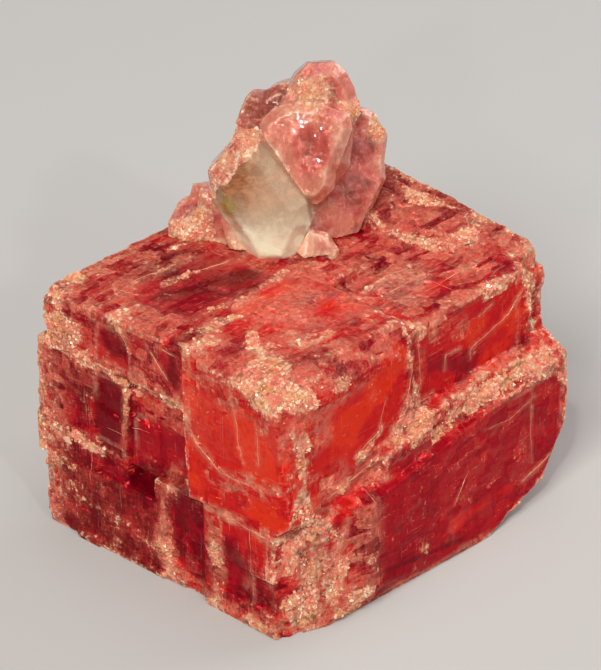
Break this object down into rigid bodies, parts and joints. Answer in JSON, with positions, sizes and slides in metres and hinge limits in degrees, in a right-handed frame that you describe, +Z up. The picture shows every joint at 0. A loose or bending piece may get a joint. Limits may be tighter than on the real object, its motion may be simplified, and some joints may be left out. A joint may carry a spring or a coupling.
{
  "type": "rhodochrosite mineral specimen",
  "caption": "Rhodochrosite mineral specimen: a stepped red cleavage rhomb with paler crystals and a clear quartz crystal on top.",
  "frame": {"origin": "centre of the big rhomb's flat base, on the face the specimen rests on", "axes": "+Z up from the base; the front corner of the base points to -Y, and +X is to the right seen from the front"},
  "size_m": [0.0475, 0.0421, 0.0347],
  "materials": {
    "red_rhodochrosite": "glassy cleavage faces with a rough pale crust along the edges",
    "pink_rhodochrosite": "glassy to pearly",
    "quartz": "clear to slightly milky, glassy"
  },
  "bodies": {
    "root": {"rhodochrosite_rhomb": "red_rhodochrosite", "summit_crystals": "pink_rhodochrosite", "quartz_crystal": "quartz"}
  },
  "joints": []
}
